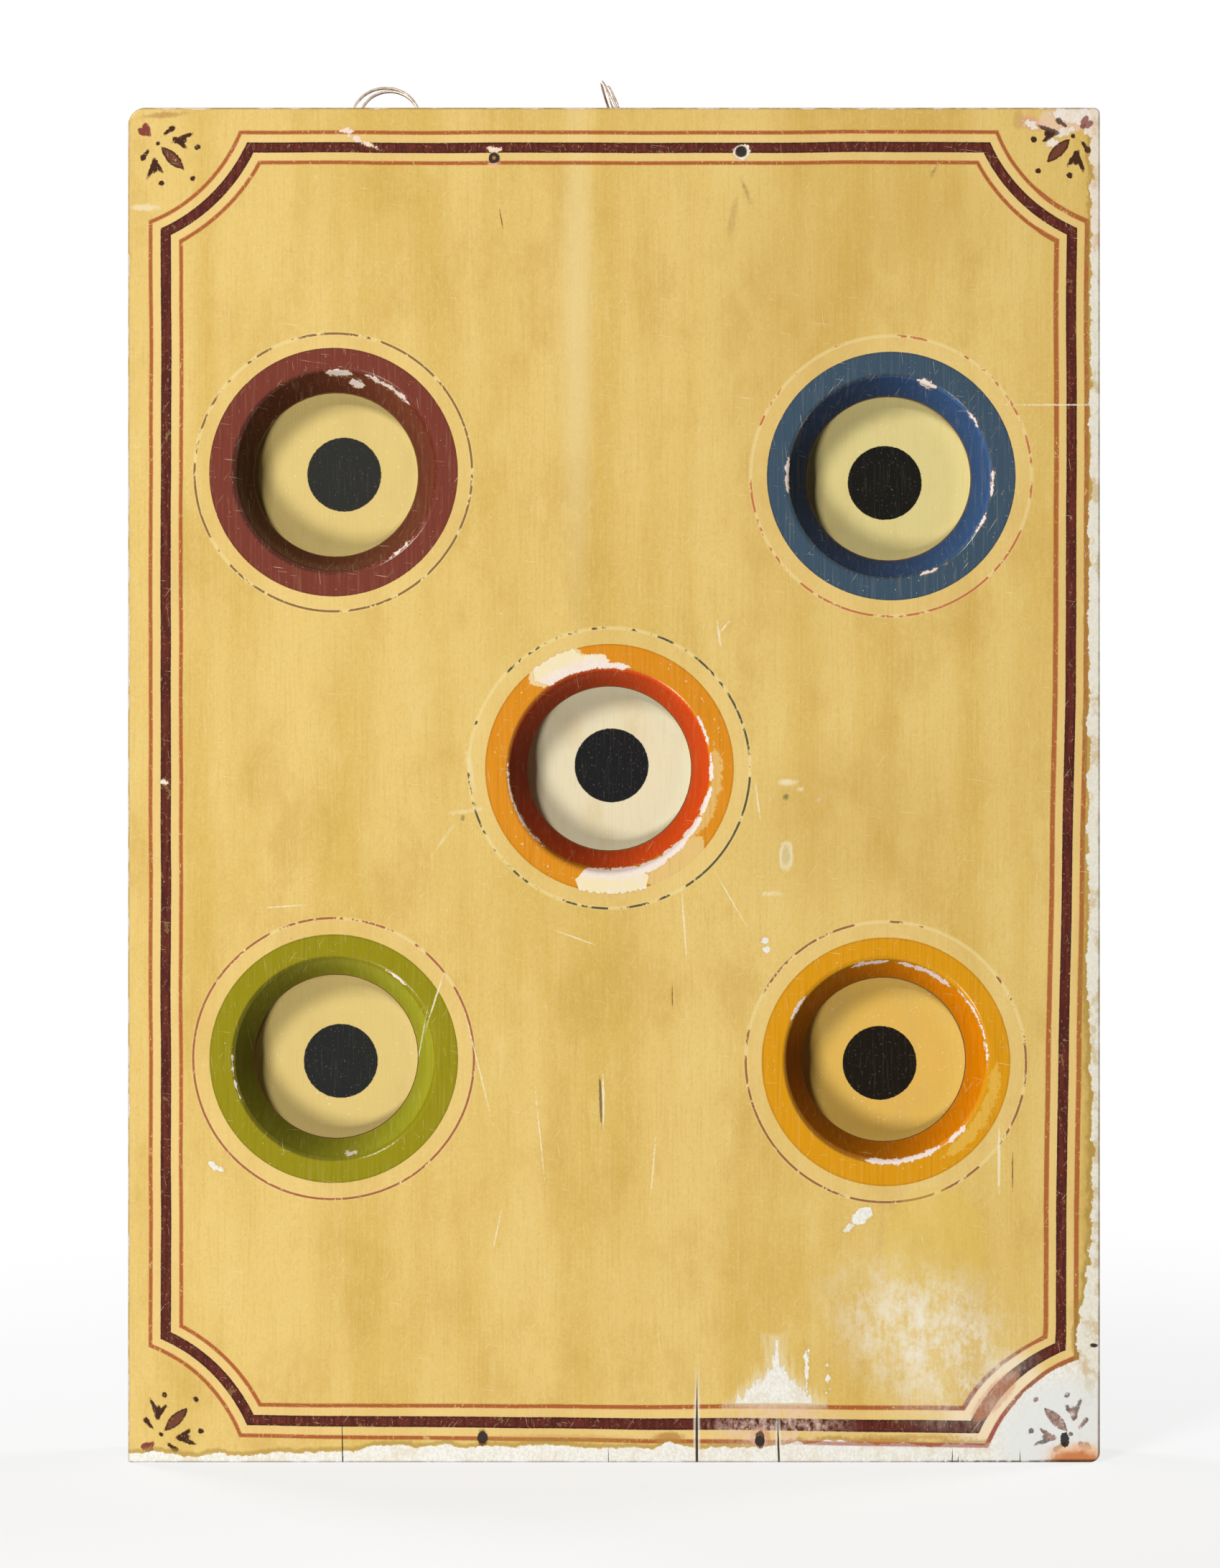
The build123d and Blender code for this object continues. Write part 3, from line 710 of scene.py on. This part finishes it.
def metal_finish(name, bright, dull, rust, painted_heads=(), **steady):
    """Old metal that is bright where it is handled, dull elsewhere and specked with rust."""
    material, shader, place = new_finish(name, **steady)
    film = place.cloud((3.5, 3.5, 3.5), seed=4.0, detail=4.0, roughness=0.6)
    specks = place.cloud((0.7, 0.7, 0.7), seed=9.0, detail=3.0, roughness=0.65)
    tone = film.rise(0.38, 0.62).between(paint(bright), paint(dull))
    tone = tone.coated(specks.rise(0.56, 0.68), rust, 0.7)
    flat = place.vector("MULTIPLY", (1.0, 0.0, 1.0))
    for head_x, head_z, reach, code in painted_heads:
        head = flat.oval(head_x, head_z, reach, reach) + film * 1.6 - 0.8
        tone = tone.coated(head.rise(0.2, -0.3), code, 0.9)
    tone.into(shader, "Base Color")
    (0.34 + film * 0.2 + specks.rise(0.56, 0.68) * 0.3).into(shader, "Roughness")
    raise_grain(shader, specks, 0.06)
    return material


finish_nodes(["split_ring_left", "split_ring_right"],
             metal_finish("worn_nickel", "#D8CABC", "#B29D8B", "#86654E", Metallic=0.7))
finish_nodes(["screw_eye_left", "screw_eye_right"],
             metal_finish("dull_steel_wire", "#77695A", "#4E433A", "#5C341F", Metallic=0.8))
finish_nodes(["back_screws", "target_screws"],
             metal_finish("screw_steel", "#857A6C", "#554B42", "#65391F", Metallic=0.8))
finish_nodes(["face_nails", "frame_nails"],
             metal_finish("rusted_nail", "#2C1E16", "#1A120D", "#43240F", Specular_IOR_Level=0.2,
                          painted_heads=[(-61.7, 671.0, 1.0, "#A07C48")]))

# Studio: a white floor and room, two soft lamps at the upper and lower left of the front, as the shadows
# in the holes show, and two behind for the back. The camera stands square to the face. Floor and room are
# white to the camera and in reflections but dim to paint, so that little light comes up into the holes.


def white_seen(tone):
    """1 for rays from the camera, from gloss or through glass, which see a white room, and 0 for others."""
    kinds = ("Camera", "Glossy", "Transmission")
    rays = [tone.node("LightPath", output=f"Is {kind} Ray") for kind in kinds]
    return rays[0].most(rays[1]).most(rays[2])


floor_mesh = bpy.data.meshes.new("floor")
ground = bmesh.new()
bmesh.ops.create_grid(ground, x_segments=1, y_segments=1, size=20.0)
ground.to_mesh(floor_mesh)
ground.free()
floor = bpy.data.objects.new("floor", floor_mesh)
bpy.context.scene.collection.objects.link(floor)
floor.visible_shadow = False
floor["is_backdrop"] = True
white, shader, place = new_finish("white_floor", Roughness=0.9, Specular_IOR_Level=0.0)
pale_floor, dim_floor = 0.90, 0.10
near_glow = 0.76
fade_start, fade_end = 380, 1300
seen = white_seen(place)
(seen * (pale_floor - dim_floor) + dim_floor).into(shader, "Base Color")
far = place.vector("MULTIPLY", (1.0, 1.0, 0.0)).length().rise(fade_start, fade_end)
glow = place.node("Emission", {}, {"Strength": 1.0})
lit = Tone(white.node_tree, shader.outputs[0])
shown = lit.node("MixShader", {}, {0: seen * (near_glow + far * (1 - near_glow)), 1: lit, 2: glow})
shown.into(white.node_tree.nodes["Material Output"], "Surface")
floor_mesh.materials.append(white)

world = bpy.data.worlds.new("white_room")
bpy.context.scene.world = world
world.use_nodes = True
fill_strength = 0.02
seen = white_seen(Tone(world.node_tree))
(seen * (1 - fill_strength) + fill_strength).into(world.node_tree.nodes["Background"], "Strength")
world.node_tree.nodes["Background"].inputs["Color"].default_value = (1.0, 1.0, 1.0, 1.0)

board_middle = Vector((0.0, 0.0, 0.349))


def lamp(name, azimuth, off_axis, distance, width, power, front=True):
    """A soft square lamp, azimuth degrees round the face from its right, off_axis degrees off square."""
    data = bpy.data.lights.new(name, "AREA")
    data.size = width
    data.energy = power
    toward = Vector((
        math.sin(math.radians(off_axis)) * math.cos(math.radians(azimuth)),
        math.cos(math.radians(off_axis)) * (-1 if front else 1),
        math.sin(math.radians(off_axis)) * math.sin(math.radians(azimuth)),
    ))
    light = bpy.data.objects.new(name, data)
    light.location = board_middle + toward * distance
    light.rotation_euler = toward.to_track_quat("Z", "Y").to_euler()
    light.visible_camera = False
    bpy.context.scene.collection.objects.link(light)


front_power, back_power = 78.0, 36.0
lamp("upper_lamp", 130, 36, 3.6, 0.75, front_power)
lamp("lower_lamp", 230, 36, 3.6, 0.75, front_power)
lamp("back_lamp_left", 150, 50, 2.4, 0.9, back_power, front=False)
lamp("back_lamp_right", 20, 64, 2.4, 0.9, back_power, front=False)

camera = bpy.data.cameras.new("camera")
camera.lens = 98.2
camera_left = -0.00203
camera_away = -2.229
eye = bpy.data.objects.new("camera", camera)
eye.location = (camera_left, camera_away, board_middle.z)
eye.rotation_euler = (math.radians(90), 0.0, 0.0)
bpy.context.scene.collection.objects.link(eye)
bpy.context.scene.camera = eye
bpy.context.scene.view_settings.view_transform = "Standard"

low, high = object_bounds()
